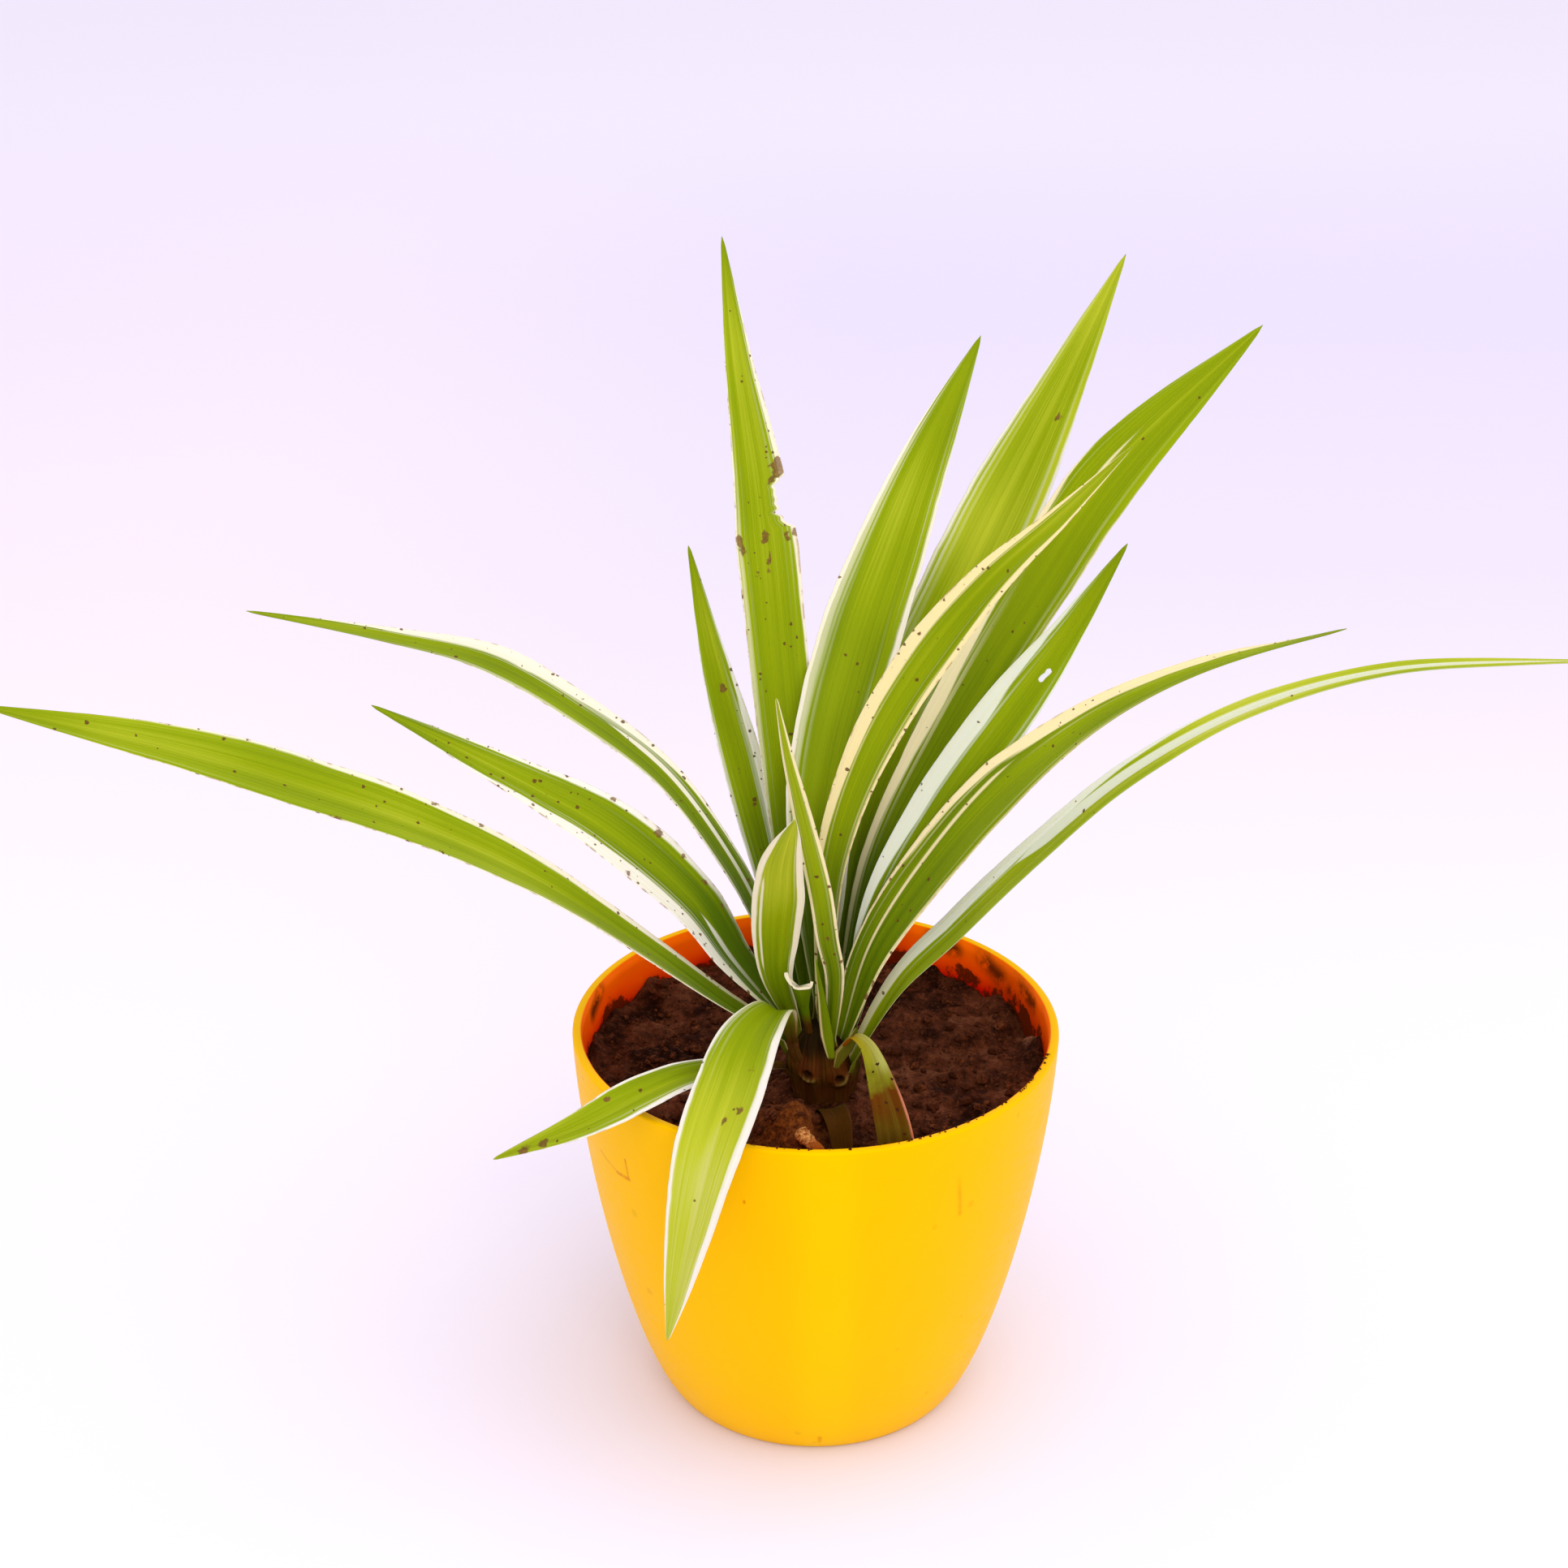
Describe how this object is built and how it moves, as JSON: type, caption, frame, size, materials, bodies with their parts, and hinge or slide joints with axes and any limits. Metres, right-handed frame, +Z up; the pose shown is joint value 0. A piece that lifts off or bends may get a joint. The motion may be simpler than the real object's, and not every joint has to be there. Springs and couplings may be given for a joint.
{
  "type": "potted spider plant",
  "caption": "Young variegated spider plant with arching strap leaves, rooted in dark soil in a small round pot that tapers to a flat base.",
  "frame": {"origin": "centre of the pot's flat base, on the surface that the pot stands on", "axes": "+Z up along the pot's axis; -Y towards the viewer of the picture, the side on which the broad leaf droops over the rim; +X towards the right of the picture, the way of the longest arching leaf"},
  "size_m": [0.2922, 0.1213, 0.2342],
  "materials": {
    "pot_plastic": "gloss",
    "soil": "matte",
    "stem": "matte",
    "leaf_green": "satin",
    "leaf_old": "satin"
  },
  "bodies": {
    "root": {"pot": "pot_plastic", "soil": "soil", "crown": "stem", "leaf_left_long": "leaf_green", "leaf_left_short": "leaf_green", "leaf_left_arching": "leaf_green", "leaf_back_left": "leaf_green", "leaf_back_tall": "leaf_green", "leaf_back_middle": "leaf_green", "leaf_back_right_tall": "leaf_green", "leaf_back_right_outer": "leaf_green", "leaf_right_inner": "leaf_green", "leaf_right_small": "leaf_green", "leaf_right_arching": "leaf_green", "leaf_right_long": "leaf_green", "leaf_front_narrow": "leaf_green", "leaf_front_upright": "leaf_green", "leaf_front_drooping": "leaf_green", "leaf_left_drooping": "leaf_green", "leaf_old_bent": "leaf_old", "leaf_half_buried": "leaf_old", "leaf_cut_stub": "leaf_green"}
  },
  "joints": []
}
